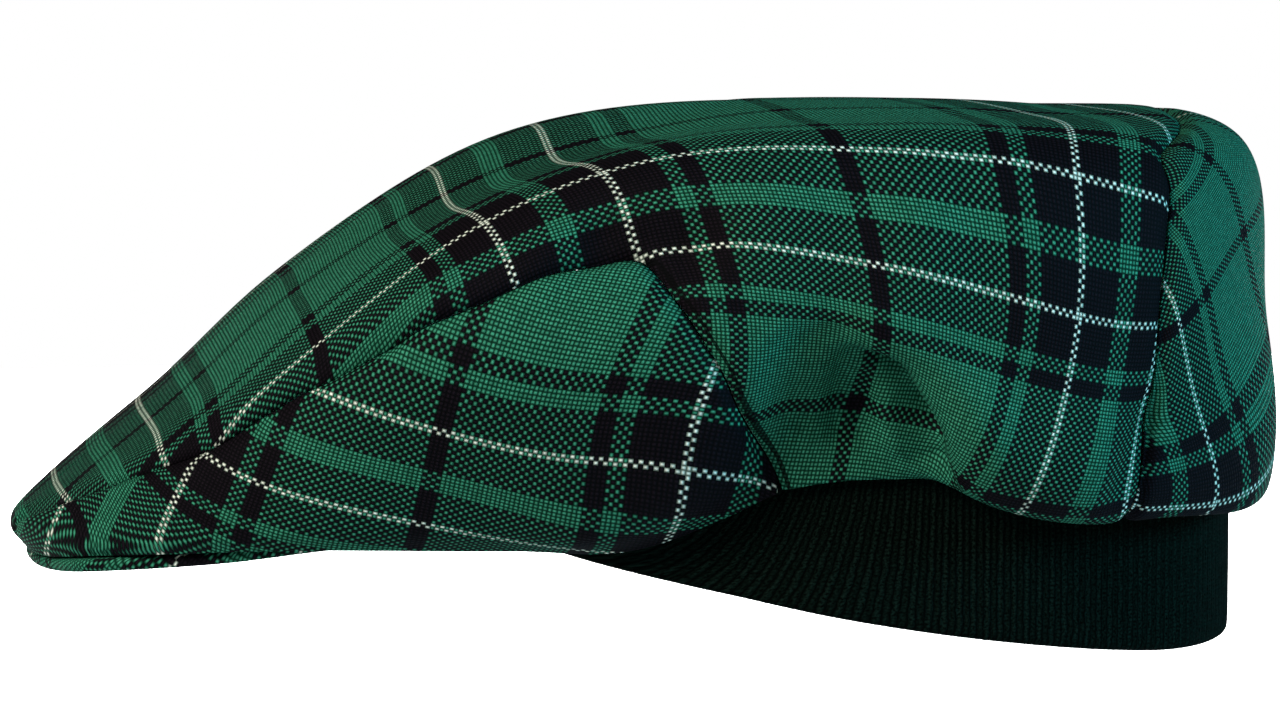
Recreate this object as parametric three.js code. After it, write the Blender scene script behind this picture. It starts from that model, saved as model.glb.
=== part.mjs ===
// Flat cap with a knitted ear band, in millimetres.
//
// The cap's cloth is one rounded surface, cut into panels. A place on it is named by two
// values: angle, in degrees round the head from the front, positive on the wearer's left,
// and along, the share of the way from the middle of the crown, 0, to the lower edge, 1.
// The peak points to -Y, the wearer's left is +X, and the origin is the middle of the head
// opening, level with the tops of the ears.

import * as THREE from 'three';

// Driving dimensions
const CLOTH = 2.0;            // thickness of the tartan cloth with its backing
const KNIT = 3.5;             // thickness of the folded rib knit
const LIP = 3.0;              // thickness of the peak at its edge
const CROWN_HEIGHT = 101.3;   // middle of the crown above the origin
const SEAM_GAP = 0.5;         // space between two panels at their seam
const DEGREE_WIDTH = 1.85;    // length of one degree at the widest part
const CLOTH_LENGTH = 195;     // from the middle of the crown down to the lower edge

const SEAM_FACET = 13;        // length of a facet along a seam, at most
const SIDE_ROWS = 6;          // rows of facets down a side panel
const BACK_ROWS = 8;          // and down the back panel
const PEAK_FACETS = 28;       // facets round the peak
const BAND_FACETS = 52;       // and round the ear band
const RIM_FACETS = 12;        // along the crown's lower edge above one ear

const LIP_ROUNDING = 1.0;     // height lost to the rounding of the lip, above and below
const KNIT_ROUNDING = 0.9;    // depth lost to the rounding of the band's fold, on each face
const PANEL_CORNER = 0.97;    // a panel's ends stay above this share along the cloth
const CROWN_SHARES = [0, 0.2, 0.36, 0.46, 0.54, 0.62, 0.7, 0.78, 0.86, 0.93, 1];
const PEAK_SHARES = [0, 0.03, 0.35, 0.7, 1];
const BAND_SHARES = [0, 0.3, 0.6, 0.9, 1];

const GREEN = 0x0f7a5c;
const DARK_GREEN = 0x04281a;
const CLOTH_ROUGHNESS = 0.9;
const KNIT_ROUGHNESS = 0.95;

/** Turns rows of numbers into a table with one array for each named column. */
function table(names, rows) {
  const columns = {};
  names.forEach((name, index) => {
    columns[name] = rows.map((row) => row[index]);
  });
  return columns;
}

// Sections of the cloth from the middle of the crown down to its lower edge: how far out and
// how high the cloth lies on the flat of the top, at the shoulder, at its widest, where it
// turns under, and at its edge.
const SECTIONS = table(
  ['angle', 'topOut', 'topUp', 'shoulderOut', 'shoulderUp', 'wideOut', 'wideUp',
    'turnOut', 'turnUp', 'edgeOut', 'edgeUp'],
  [
    [0, 67.5, 91.9, 119.5, 57.6, 167, 16.4, 177, 5.2, 174.2, 0.9],
    [10, 67, 91.9, 119.5, 58.7, 166, 17.2, 175, 5.4, 172.4, 1.1],
    [20, 65, 91.8, 120, 60.0, 158, 24.6, 167, 7.0, 165, 4.2],
    [32, 62, 92.3, 117, 67.2, 144, 34.0, 144, 11.5, 139, 6.7],
    [45, 58, 94.0, 110.5, 77.2, 127, 41.5, 115, 11.5, 103, 5.7],
    [60, 54, 96.5, 100, 86.5, 113, 46.0, 101, 11.5, 89, 5.7],
    [75, 51, 98.2, 95, 91.0, 107, 51.0, 95, 23.0, 84, 14.0],
    [82, 50, 98.8, 94, 92.0, 106, 56.0, 88.5, 34.0, 85.6, 19.0],
    [90, 50, 99.2, 93, 92.8, 106, 59.0, 87.0, 37.5, 86.2, 21.3],
    [98, 50, 99.3, 94, 92.8, 107, 58.0, 90.0, 33.0, 86.5, 21.6],
    [105, 51, 99.4, 95, 92.8, 108, 55.0, 100, 21.0, 86, 21.0],
    [112, 53, 99.4, 98, 92.3, 111, 55.0, 104, 15.5, 88, 17.5],
    [120, 55, 99.4, 101, 91.6, 113, 55.0, 107, 12.5, 91, 17.0],
    [133, 60, 99.4, 106, 91.3, 116, 55.0, 111, 12.0, 96, 16.5],
    [146, 62, 99.5, 108, 91.6, 117, 55.0, 114, 11.0, 101, 15.3],
    [162, 62, 99.9, 108.5, 92.8, 114.5, 51.0, 115, 11.8, 105.7, 13.8],
    [180, 62, 100.1, 108, 93.4, 112, 49.0, 115.5, 12.5, 108.8, 12.4],
  ],
);
const SECTION_STOPS = [0, 0.27, 0.5, 0.72, 0.9, 1];

// Folds of the left half, mirrored to the right: each runs from one place to another, and
// pushes the cloth out, or in where push is negative, over its width in millimetres.
const FOLDS = table(
  ['fromAngle', 'fromAlong', 'toAngle', 'toAlong', 'width', 'push'],
  [
    [0, 0.600, 14, 0.605, 14, -1.8],     // flat place over the front of the crown
    [61, 0.584, 70, 0.602, 8, -5.5],     // dent where the seams meet under the crown
    [48, 0.665, 63, 0.675, 20, 3.5],     // side panel puffed out under the crown
    [30, 0.680, 44, 0.590, 7, 2.0],      // crown rolled over the side panel's seam
    [36, 0.655, 41, 0.640, 4, -2.0],     // tuck beside that seam
    [89, 0.600, 88, 0.700, 14, -2.0],    // hollow down the wing
    [84, 0.754, 88, 0.757, 6, -2.0],     // dent at the foot of the hollow
    [93, 0.750, 104, 0.800, 8, 3.5],     // cloth bloused over the ear band
    [91, 0.803, 95, 0.812, 4, -3.0],     // crease under the bloused cloth
    [95, 0.812, 99.5, 0.860, 4, -4.5],   // crease running down
    [99.5, 0.860, 102, 0.930, 4, -5.5],  // deep end of the crease
    [108, 0.840, 118, 0.830, 10, 4.0],   // round end of the bloused cloth
    [86, 0.830, 86, 0.930, 5, 1.5],      // first gather above the ear band
    [90, 0.830, 90, 0.930, 3, -1.8],     // pleat behind it
    [93, 0.850, 93, 0.930, 3, -2.2],     // deeper pleat
    [97, 0.870, 98, 0.930, 4, 2.0],      // second gather
    [123, 0.840, 126, 0.800, 5, -2.5],   // tuck at the foot of the back seam
    [136, 0.720, 150, 0.800, 16, 2.5],   // fullness of the back panel
  ],
);

// The two seams of the crown, from front to back: round the side panel, and over the back.
const FRONT_SEAM = table(
  ['angle', 'along'],
  [[4, 1], [4.3, 0.9], [4.5, 0.83], [10, 0.755], [16, 0.742], [22, 0.735], [27, 0.728],
    [31, 0.706], [36, 0.672], [42, 0.646], [48, 0.629], [57, 0.602], [65, 0.601],
    [70, 0.655], [74.5, 0.735], [77.2, 0.82], [79, 0.89], [81, 0.963], [82, 1]],
);
const BACK_SEAM = table(
  ['angle', 'along'],
  [[126, 1], [126, 0.86], [127, 0.77], [128, 0.69], [130, 0.62], [132.5, 0.56],
    [135, 0.495], [141, 0.462], [150, 0.435], [165, 0.412], [180, 0.405]],
);
const FRONT_SEAM_END = 82;
const BACK_SEAM_START = 126;

// The peak's crescent: its outer edge, the height of its top, and its edge at the forehead.
const PEAK = table(
  ['angle', 'outerOut', 'innerOut', 'outerUp', 'innerUp'],
  [
    [0, 173.4, 108, 0.4, 6.0],
    [10, 171.8, 109, 0.8, 6.0],
    [20, 165.4, 111, 3.8, 6.5],
    [24, 155.0, 112, 5.2, 7.0],
    [28, 146.0, 112, 6.8, 8.0],
    [32, 136.0, 112, 9.0, 9.2],
    [38, 114.0, 109.5, 11.0, 11.0],
  ],
);
const PEAK_END = 38;

// The ear band: how far out it lies, and its upper and lower edges. It hangs just inside the
// cloth's lower edge.
const BAND = table(
  ['angle', 'out', 'upperUp', 'lowerUp'],
  [
    [46, 98.9, 14, 8.0],
    [52, 91.7, 14, 4.0],
    [60, 86.7, 14, 0.5],
    [67, 83.1, 15, -2.1],
    [75, 81.8, 17, -4.5],
    [90, 83.0, 25, -9.0],
    [105, 85.0, 27, -13.0],
    [120, 90.0, 24, -16.5],
    [133, 95.2, 23, -19.3],
    [146, 100.4, 22, -21.6],
    [162, 105.0, 20, -22.8],
    [180, 108.0, 19, -23.4],
  ],
);
const BAND_START = 46;

/** Cubic curve through the points (xs, ys), level at both ends when flatEnds is true. */
function curveAt(xs, ys, x, flatEnds = true) {
  const last = xs.length - 1;
  const rise = (i) => (ys[i + 1] - ys[i]) / (xs[i + 1] - xs[i]);
  const slope = (i) => {
    if (i === 0) return flatEnds ? 0 : rise(0);
    if (i === last) return flatEnds ? 0 : rise(last - 1);
    const before = xs[i] - xs[i - 1];
    const after = xs[i + 1] - xs[i];
    return (rise(i - 1) * after + rise(i) * before) / (before + after);
  };
  let i = 0;
  while (i < last - 1 && x > xs[i + 1]) i += 1;
  const span = xs[i + 1] - xs[i];
  const u = (x - xs[i]) / span;
  const v = 1 - u;
  return (1 + 2 * u) * v * v * ys[i] + u * v * v * span * slope(i)
    + u * u * (3 - 2 * u) * ys[i + 1] - u * u * v * span * slope(i + 1);
}

/** The angle of the same section on the wearer's left. */
function leftSide(angle) {
  return angle > 180 ? 360 - angle : Math.abs(angle);
}

/** A point at this angle round the head, out from its middle and up. */
function polar(angle, out, up) {
  const turn = THREE.MathUtils.degToRad(angle);
  return new THREE.Vector3(out * Math.sin(turn), -out * Math.cos(turn), up);
}

/** The smooth outer face of the cloth, before its folds. */
function plainPoint(angle, along) {
  const side = leftSide(angle);
  const at = (name) => curveAt(SECTIONS.angle, SECTIONS[name], side);
  const out = [0, at('topOut'), at('shoulderOut'), at('wideOut'), at('turnOut'), at('edgeOut')];
  const up = [CROWN_HEIGHT, at('topUp'), at('shoulderUp'), at('wideUp'), at('turnUp'), at('edgeUp')];
  const stops = [-SECTION_STOPS[1], ...SECTION_STOPS];
  const outAt = curveAt(stops, [-out[1], ...out], along, false);
  const upAt = curveAt(stops, [up[1], ...up], along, false);
  return polar(angle, outAt, upAt);
}

/** Which way the smooth cloth faces. */
function facing(angle, along) {
  const step = 0.004;
  const low = Math.max(along - step, step);
  const high = Math.min(along + step, 1);
  const down = plainPoint(angle, high).sub(plainPoint(angle, low));
  const round = plainPoint(angle + 1, high).sub(plainPoint(angle - 1, high));
  return down.cross(round).normalize();
}

/** A place on the cloth laid out flat, in millimetres. */
function flatPlace(angle, along) {
  return new THREE.Vector2(angle * DEGREE_WIDTH, along * CLOTH_LENGTH);
}

/** How far the folds push the cloth out at a place. */
function foldPush(angle, along) {
  const place = flatPlace(leftSide(angle), along);
  let push = 0;
  FOLDS.push.forEach((height, i) => {
    const from = flatPlace(FOLDS.fromAngle[i], FOLDS.fromAlong[i]);
    const to = flatPlace(FOLDS.toAngle[i], FOLDS.toAlong[i]);
    const run = to.clone().sub(from);
    const share = THREE.MathUtils.clamp(place.clone().sub(from).dot(run) / run.lengthSq(), 0, 1);
    const away = place.distanceTo(from.addScaledVector(run, share)) / FOLDS.width[i];
    push += height * Math.exp(-away * away);
  });
  return push;
}

/** A point of the finished cloth, this deep below its outer face. */
function clothPoint(angle, along, depth) {
  const push = foldPush(angle, along) - depth;
  return plainPoint(angle, along).addScaledVector(facing(angle, along), push);
}

/**
 * A closed wall between an outer and an inner grid of points with equal rows. A ring's rows
 * close on themselves, and a capped ring starts with a row that is a single point.
 */
function wallGeometry(outer, inner, { ring = false, capped = false } = {}) {
  const rows = outer.length;
  const count = outer[0].length;
  const points = [...outer.flat(), ...inner.flat()];
  const index = [];
  const at = (face, row, column) => {
    const place = capped && row === 0 ? 0 : column % count;
    return face * rows * count + row * count + place;
  };
  const triangle = (a, b, c) => {
    if (a !== b && b !== c && a !== c) index.push(a, b, c);
  };
  const quad = (a, b, c, d) => {
    if (points[a].distanceTo(points[c]) <= points[b].distanceTo(points[d])) {
      triangle(a, b, c);
      triangle(a, c, d);
    } else {
      triangle(a, b, d);
      triangle(b, c, d);
    }
  };
  const columns = ring ? count : count - 1;
  for (let row = 0; row < rows - 1; row += 1) {
    for (let column = 0; column < columns; column += 1) {
      const next = column + 1;
      quad(at(0, row, column), at(0, row + 1, column), at(0, row + 1, next), at(0, row, next));
      quad(at(1, row, column), at(1, row, next), at(1, row + 1, next), at(1, row + 1, column));
    }
  }
  for (let column = 0; column < columns; column += 1) {
    const low = rows - 1;
    quad(at(0, low, column), at(1, low, column), at(1, low, column + 1), at(0, low, column + 1));
    if (!capped) {
      quad(at(0, 0, column + 1), at(1, 0, column + 1), at(1, 0, column), at(0, 0, column));
    }
  }
  if (!ring) {
    const end = count - 1;
    for (let row = 0; row < rows - 1; row += 1) {
      quad(at(0, row, 0), at(1, row, 0), at(1, row + 1, 0), at(0, row + 1, 0));
      quad(at(0, row + 1, end), at(1, row + 1, end), at(1, row, end), at(0, row, end));
    }
  }
  const used = [...new Set(index)].sort((a, b) => a - b);
  const renumber = new Map(used.map((old, fresh) => [old, fresh]));
  const geometry = new THREE.BufferGeometry();
  const flat = used.flatMap((old) => points[old].toArray());
  geometry.setAttribute('position', new THREE.Float32BufferAttribute(flat, 3));
  geometry.setIndex(index.map((old) => renumber.get(old)));
  geometry.computeVertexNormals();
  return geometry;
}

/** Names a solid and gives it its finish. */
function piece(name, geometry, color, roughness) {
  const material = new THREE.MeshStandardMaterial({ color, roughness, metalness: 0 });
  const mesh = new THREE.Mesh(geometry, material);
  mesh.name = name;
  return mesh;
}

/** Evenly spread values from one to another, both included. */
function spread(from, to, steps) {
  return Array.from({ length: steps + 1 }, (_, i) => from + (to - from) * (i / steps));
}

/** Places along a seam, moved sideways by shift millimetres, towards the panel below it. */
function alongSeam(seam, shift) {
  const corners = seam.angle.map((angle, i) => flatPlace(angle, seam.along[i]));
  const places = [];
  for (let i = 0; i < corners.length - 1; i += 1) {
    const steps = Math.ceil(corners[i].distanceTo(corners[i + 1]) / SEAM_FACET);
    for (let step = 0; step < steps; step += 1) {
      places.push(corners[i].clone().lerp(corners[i + 1], step / steps));
    }
  }
  places.push(corners[corners.length - 1]);
  return places.map((place, i) => {
    const before = places[Math.max(i - 1, 0)];
    const after = places[Math.min(i + 1, places.length - 1)];
    const run = after.clone().sub(before).normalize();
    return {
      angle: (place.x - run.y * shift) / DEGREE_WIDTH,
      along: Math.min((place.y + run.x * shift) / CLOTH_LENGTH, 1),
    };
  });
}

/** The same places on the other side of the cap, in the opposite order. */
function mirrored(places) {
  return places.map(({ angle, along }) => ({ angle: -angle, along })).reverse();
}

/** Crown: one cloth from the peak's edge over the top to the back seam, with its side wings. */
function makeCrown() {
  const rim = spread(FRONT_SEAM_END, BACK_SEAM_START, RIM_FACETS).slice(1, -1)
    .map((angle) => ({ angle, along: 1 }));
  const left = [
    { angle: 0, along: 1 },
    ...alongSeam(FRONT_SEAM, -SEAM_GAP / 2),
    ...rim,
    ...alongSeam(BACK_SEAM, -SEAM_GAP / 2),
  ];
  const backMiddle = left.pop();
  backMiddle.angle = 180;
  const rightSide = mirrored(left).slice(0, -1);
  const edge = [...left, backMiddle, ...rightSide];
  const grid = (depth) => CROWN_SHARES
    .map((share) => edge.map(({ angle, along }) => clothPoint(angle, along * share, depth)));
  const geometry = wallGeometry(grid(0), grid(CLOTH), { ring: true, capped: true });
  return piece('crown', geometry, GREEN, CLOTH_ROUGHNESS);
}

/** A panel between an upper and a lower list of places, in this many rows. */
function makePanel(name, upper, lower, rows) {
  const grid = (depth) => spread(0, 1, rows).map((share) => upper.map((top, i) => {
    const angle = top.angle + (lower[i].angle - top.angle) * share;
    const along = top.along + (lower[i].along - top.along) * share;
    return clothPoint(angle, along, depth);
  }));
  return piece(name, wallGeometry(grid(0), grid(CLOTH)), GREEN, CLOTH_ROUGHNESS);
}

/** Side panel: the cloth between the front seam and the lower edge, on one side. */
function makeSidePanel(name, isLeft) {
  const upper = alongSeam(FRONT_SEAM, SEAM_GAP / 2).filter(({ along }) => along < PANEL_CORNER);
  const start = upper[0].angle;
  const stop = upper[upper.length - 1].angle;
  const lower = spread(start, stop, upper.length - 1).map((angle) => ({ angle, along: 1 }));
  return isLeft
    ? makePanel(name, upper, lower, SIDE_ROWS)
    : makePanel(name, mirrored(upper), mirrored(lower), SIDE_ROWS);
}

/** Back panel: the cloth below the back seam, from one side round to the other. */
function makeBackPanel() {
  const seam = alongSeam(BACK_SEAM, SEAM_GAP / 2).filter(({ along }) => along < PANEL_CORNER);
  seam[seam.length - 1].angle = 180;
  const upper = [...seam, ...mirrored(seam).slice(1)];
  const half = spread(seam[0].angle, 180, seam.length - 1).map((angle) => ({ angle, along: 1 }));
  const lower = [...half, ...mirrored(half).slice(1)];
  const unwrapped = (places) => places.map(({ angle, along }) => ({
    angle: angle < 0 ? angle + 360 : angle,
    along,
  }));
  return makePanel('back_panel', unwrapped(upper), unwrapped(lower), BACK_ROWS);
}

/** Peak: a stiff crescent with a rounded lip, level with the crown's front edge. */
function makePeak() {
  const angles = spread(-PEAK_END, PEAK_END, PEAK_FACETS);
  const grid = (isTop) => PEAK_SHARES.map((share) => angles.map((angle) => {
    const at = (name) => curveAt(PEAK.angle, PEAK[name], leftSide(angle));
    const rounding = share === 0 ? LIP_ROUNDING : 0;
    const out = at('outerOut') + (at('innerOut') - at('outerOut')) * share;
    const up = at('outerUp') + (at('innerUp') - at('outerUp')) * share;
    return polar(angle, out, isTop ? up - rounding : up - LIP + rounding);
  }));
  return piece('peak', wallGeometry(grid(false), grid(true)), GREEN, CLOTH_ROUGHNESS);
}

/** Ear band: folded rib knit from one temple round the back to the other. */
function makeEarBand() {
  const angles = spread(BAND_START, 360 - BAND_START, BAND_FACETS);
  const grid = (isOuter) => BAND_SHARES.map((share) => angles.map((angle) => {
    const at = (name) => curveAt(BAND.angle, BAND[name], leftSide(angle));
    const rounding = share === 1 ? KNIT_ROUNDING : 0;
    const out = isOuter ? at('out') - rounding : at('out') - KNIT + rounding;
    return polar(angle, out, at('upperUp') + (at('lowerUp') - at('upperUp')) * share);
  }));
  return piece('ear_band', wallGeometry(grid(true), grid(false)), DARK_GREEN, KNIT_ROUGHNESS);
}

const flatCap = new THREE.Group();
flatCap.add(
  makeCrown(),
  makeSidePanel('side_panel_left', true),
  makeSidePanel('side_panel_right', false),
  makeBackPanel(),
  makePeak(),
  makeEarBand(),
);

export default flatCap;
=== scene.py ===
import math

import bpy
import numpy as np
from bpy.props import FloatProperty, FloatVectorProperty, PointerProperty
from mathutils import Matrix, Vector
from mathutils.kdtree import KDTree


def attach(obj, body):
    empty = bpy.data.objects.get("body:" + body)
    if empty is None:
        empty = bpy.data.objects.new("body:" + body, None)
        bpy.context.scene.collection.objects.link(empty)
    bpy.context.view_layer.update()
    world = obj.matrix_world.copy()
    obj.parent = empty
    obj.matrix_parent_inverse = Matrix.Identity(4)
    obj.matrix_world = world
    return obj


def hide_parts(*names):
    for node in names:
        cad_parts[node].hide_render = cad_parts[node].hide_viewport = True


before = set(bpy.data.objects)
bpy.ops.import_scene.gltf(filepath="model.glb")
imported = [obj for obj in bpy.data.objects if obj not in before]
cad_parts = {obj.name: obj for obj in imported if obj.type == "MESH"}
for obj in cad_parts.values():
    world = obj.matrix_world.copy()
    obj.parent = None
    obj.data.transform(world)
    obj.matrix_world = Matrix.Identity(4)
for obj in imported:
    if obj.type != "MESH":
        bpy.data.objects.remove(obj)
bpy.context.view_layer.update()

bl_info = {
    "name": "Flat Cap",
    "version": (1, 0, 0),
    "blender": (4, 5, 0),
    "location": "View3D > Sidebar > Flat Cap",
    "description": "Builds a tartan flat cap with a ribbed knit ear band",
    "category": "Add Mesh",
}

MM = 0.001

# ----
# The cloth's surface. A place on it is an angle, in degrees round the head from the front and
# positive on the wearer's left, and a share along the way from the middle of the crown, 0, to
# the lower edge, 1.
# ----

CROWN_HEIGHT = 101.3     # middle of the crown above the origin, mm
DEGREE_WIDTH = 1.85      # length of one degree at the widest part, mm
CLOTH_LENGTH = 195.0     # from the middle of the crown down to the lower edge, mm
TIP_ALONG = 0.9          # where the crown's front tip begins, a share along the cloth
WING_FRONT = 66.0        # angle at which the crown's wing leaves its front seam, degrees
WING_BACK = 0.62         # share along the back seam at which the wing leaves it
SEAM_STEP = 1.0          # from one place to the next along a seam, mm
SEAM_END = 4             # places left off a panel's seam where it meets the lower edge
STRIP_WIDTH = 1.9        # strip of turned cloth sewn down along the wing's front seam, mm
STRIP_LINE = 0.25        # half the width of the line of painted shade along the stitching, mm
STRIP_PAINTED_SHADE = 0.85        # how dark that painted shade is, a share of black

# How finely the pieces are made, in rows down the cloth and columns across it.
CROWN_RINGS = 52
TIP_COLUMNS = 5
TIP_ROWS = 12
WING_COLUMNS = 80
WING_ROWS = 50
SIDE_ROWS = 70
BACK_ROWS = 90
PEAK_COLUMNS = 240
PEAK_ROWS = 40
LIP_ROWS = 13
BAND_COLUMNS = 1900
BAND_OUTER_ROWS = 16
BAND_FOLD_ROWS = 9
BAND_INNER_ROWS = 12

SETTLE_STEPS = 900       # most steps in letting a flattened cloth settle
SETTLED = 1e-15          # unrest left in a cloth that has settled
SHORT_EDGE = 2e-4        # length under which an edge pulls no harder, metres
CROWN_MIDDLE = -101      # thread that runs down the middle of the crown
SIDE_SLOPE = 0.26        # slope of the side panels' grain, down towards the back, radians
BIAS = 45                # turn of the back panel's grain, degrees

# How far a stripe pulls the cloth askew around each of its places, in metres, and how stiffly
# the cloth holds against it. A tilt or a stretch of a whole piece is held less stiffly.
CROWN_PULL = (0.045, 0.06)
SIDE_PULL = (0.03, 0.06)
BACK_PULL = (0.03, 0.5)
TILT_SCALE = 10
TILT_STIFFNESS = 0.02


def table(names, rows):
    """A table with one array for each named column."""
    return dict(zip(names.split(), np.array(rows, float).T))


SECTIONS = table(
    "angle topOut topUp shoulderOut shoulderUp wideOut wideUp turnOut turnUp edgeOut edgeUp",
    [
        [0, 67.5, 91.9, 119.5, 57.6, 167, 16.4, 177, 5.2, 174.2, 0.9],
        [10, 67, 91.9, 119.5, 58.7, 166, 17.2, 175, 5.4, 172.4, 1.1],
        [20, 65, 91.8, 120, 60.0, 158, 24.6, 167, 7.0, 165, 4.2],
        [32, 62, 92.3, 117, 67.2, 144, 34.0, 144, 11.5, 139, 6.7],
        [45, 58, 94.0, 110.5, 77.2, 127, 41.5, 115, 11.5, 103, 5.7],
        [60, 54, 96.5, 100, 86.5, 113, 46.0, 101, 11.5, 89, 5.7],
        [75, 51, 98.2, 95, 91.0, 107, 51.0, 95, 23.0, 84, 14.0],
        [82, 50, 98.8, 94, 92.0, 106, 56.0, 88.5, 34.0, 85.6, 19.0],
        [90, 50, 99.2, 93, 92.8, 106, 59.0, 87.0, 37.5, 86.2, 21.3],
        [98, 50, 99.3, 94, 92.8, 107, 58.0, 90.0, 33.0, 86.5, 21.6],
        [105, 51, 99.4, 95, 92.8, 108, 55.0, 100, 21.0, 86, 21.0],
        [112, 53, 99.4, 98, 92.3, 111, 55.0, 104, 15.5, 88, 17.5],
        [120, 55, 99.4, 101, 91.6, 113, 55.0, 107, 12.5, 91, 17.0],
        [133, 60, 99.4, 106, 91.3, 116, 55.0, 111, 12.0, 96, 16.5],
        [146, 62, 99.5, 108, 91.6, 117, 55.0, 114, 11.0, 101, 15.3],
        [162, 62, 99.9, 108.5, 92.8, 114.5, 51.0, 115, 11.8, 105.7, 13.8],
        [180, 62, 100.1, 108, 93.4, 112, 49.0, 115.5, 12.5, 108.8, 12.4],
    ],
)
SECTION_STOPS = np.array([0, 0.27, 0.5, 0.72, 0.9, 1])

# Folds of the left half, mirrored to the right: each runs from one place to another and pushes
# the cloth out, or in where push is negative, over its width in millimetres.
FOLDS = table(
    "fromAngle fromAlong toAngle toAlong width push",
    [
        [0, 0.600, 14, 0.605, 14, -1.8],     # flat place over the front of the crown
        [61, 0.584, 70, 0.602, 8, -5.5],     # dent where the seams meet under the crown
        [48, 0.665, 63, 0.675, 20, 3.5],     # side panel puffed out under the crown
        [30, 0.680, 44, 0.590, 7, 2.0],      # crown rolled over the side panel's seam
        [36, 0.655, 41, 0.640, 4, -2.0],     # tuck beside that seam
        [89, 0.600, 88, 0.700, 14, -2.0],    # hollow down the wing
        [84, 0.754, 88, 0.757, 6, -2.0],     # dent at the foot of the hollow
        [93, 0.750, 104, 0.800, 8, 3.5],     # cloth bloused over the ear band
        [91, 0.803, 95, 0.812, 4, -3.0],     # crease under the bloused cloth
        [95, 0.812, 99.5, 0.860, 4, -4.5],   # crease running down
        [99.5, 0.860, 102, 0.930, 4, -5.5],  # deep end of the crease
        [108, 0.840, 118, 0.830, 10, 4.0],   # round end of the bloused cloth
        [86, 0.830, 86, 0.930, 5, 1.5],      # first gather above the ear band
        [90, 0.830, 90, 0.930, 3, -1.8],     # pleat behind it
        [93, 0.850, 93, 0.930, 3, -2.2],     # deeper pleat
        [97, 0.870, 98, 0.930, 4, 2.0],      # second gather
        [123, 0.840, 126, 0.800, 5, -2.5],   # tuck at the foot of the back seam
        [136, 0.720, 150, 0.800, 16, 2.5],   # fullness of the back panel
    ],
)

FRONT_SEAM = table(
    "angle along",
    [[4, 1], [4.3, 0.9], [4.5, 0.83], [10, 0.755], [16, 0.742], [22, 0.735], [27, 0.728],
     [31, 0.706], [36, 0.672], [42, 0.646], [48, 0.629], [57, 0.602], [65, 0.601],
     [70, 0.655], [74.5, 0.735], [77.2, 0.82], [79, 0.89], [81, 0.963], [82, 1]],
)
BACK_SEAM = table(
    "angle along",
    [[126, 1], [126, 0.86], [127, 0.77], [128, 0.69], [130, 0.62], [132.5, 0.56],
     [135, 0.495], [141, 0.462], [150, 0.435], [165, 0.412], [180, 0.405]],
)

PEAK = table(
    "angle outerOut innerOut outerUp innerUp",
    [
        [0, 173.4, 108, 0.4, 6.0],
        [10, 171.8, 109, 0.8, 6.0],
        [20, 165.4, 111, 3.8, 6.5],
        [24, 155.0, 112, 5.2, 7.0],
        [28, 146.0, 112, 6.8, 8.0],
        [32, 136.0, 112, 9.0, 9.2],
        [38, 114.0, 109.5, 11.0, 11.0],
    ],
)

BAND = table(
    "angle out upperUp lowerUp",
    [
        [46, 98.9, 14, 8.0],
        [52, 91.7, 14, 4.0],
        [60, 86.7, 14, 0.5],
        [67, 83.1, 15, -2.1],
        [75, 81.8, 17, -4.5],
        [90, 83.0, 25, -9.0],
        [105, 85.0, 27, -13.0],
        [120, 90.0, 24, -16.5],
        [133, 95.2, 23, -19.3],
        [146, 100.4, 22, -21.6],
        [162, 105.0, 20, -22.8],
        [180, 108.0, 19, -23.4],
    ],
)


# Where stripes of the tartan lie: each row counts its threads across or along the grain, from
# the middle of the six green threads, and gives the places it goes through, angle and share.
# Another script worked these places out and wrote the rows. They weren't chosen by hand.
CROWN_STRIPES = (
    ("across", -14, (29, 0.72), (31.5, 0.615), (41, 0.56), (56, 0.5), (71, 0.5), (97.5, 0.495),
     (119.5, 0.54), (131, 0.585)),
    ("across", 0, (47, 0.6), (55, 0.53), (69, 0.525), (96, 0.575), (124, 0.64)),
    ("across", 14, (68, 0.585), (84, 0.62), (95, 0.655), (107, 0.67), (126.5, 0.72)),
    ("across", 27, (79, 0.67), (89.5, 0.725), (100, 0.735)),
    ("across", 31, (114, 0.765), (125, 0.78)),
    ("across", 65, (79, 0.84), (92, 0.895), (98, 0.885), (107, 0.87)),
    ("across", -65, (12, 0.585), (17.5, 0.5), (20, 0.395), (44.5, 0.235)),
    ("along", 0, (127, 0.54), (124, 0.64), (123, 0.735)),
    ("along", 14, (145.5, 0.435)),
    ("along", 12, (130, 0.595), (127, 0.695), (126, 0.74)),
    ("along", -14, (132, 0.37), (119.5, 0.54), (118, 0.61), (115, 0.75), (112, 0.83),
     (110.5, 0.88)),
    ("along", -29, (110, 0.62), (108, 0.785), (107, 0.825)),
    ("along", -65, (90.5, 0.52), (92, 0.65), (95, 0.835), (90.5, 0.885), (90.5, 0.985)),
    ("along", -101, (70.5, 0.53), (75, 0.665)),
    ("along", -116, (10.5, 0.225), (55.5, 0.455), (60, 0.51), (64, 0.565)),
    ("along", -130, (33, 0.34), (58, 0.58)),
    ("along", -144, (4.5, 0.325), (44, 0.485), (50, 0.56), (53, 0.605)),
    ("along", -157, (28, 0.425), (47, 0.6)),
    ("along", -195, (22, 0.51), (33, 0.605)),
    ("along", -246, (13, 0.645), (23, 0.735)),
    ("along", -260, (8, 0.67), (17.5, 0.74)),
    ("along", -274, (0, 0.725), (12, 0.755)),
)
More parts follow.
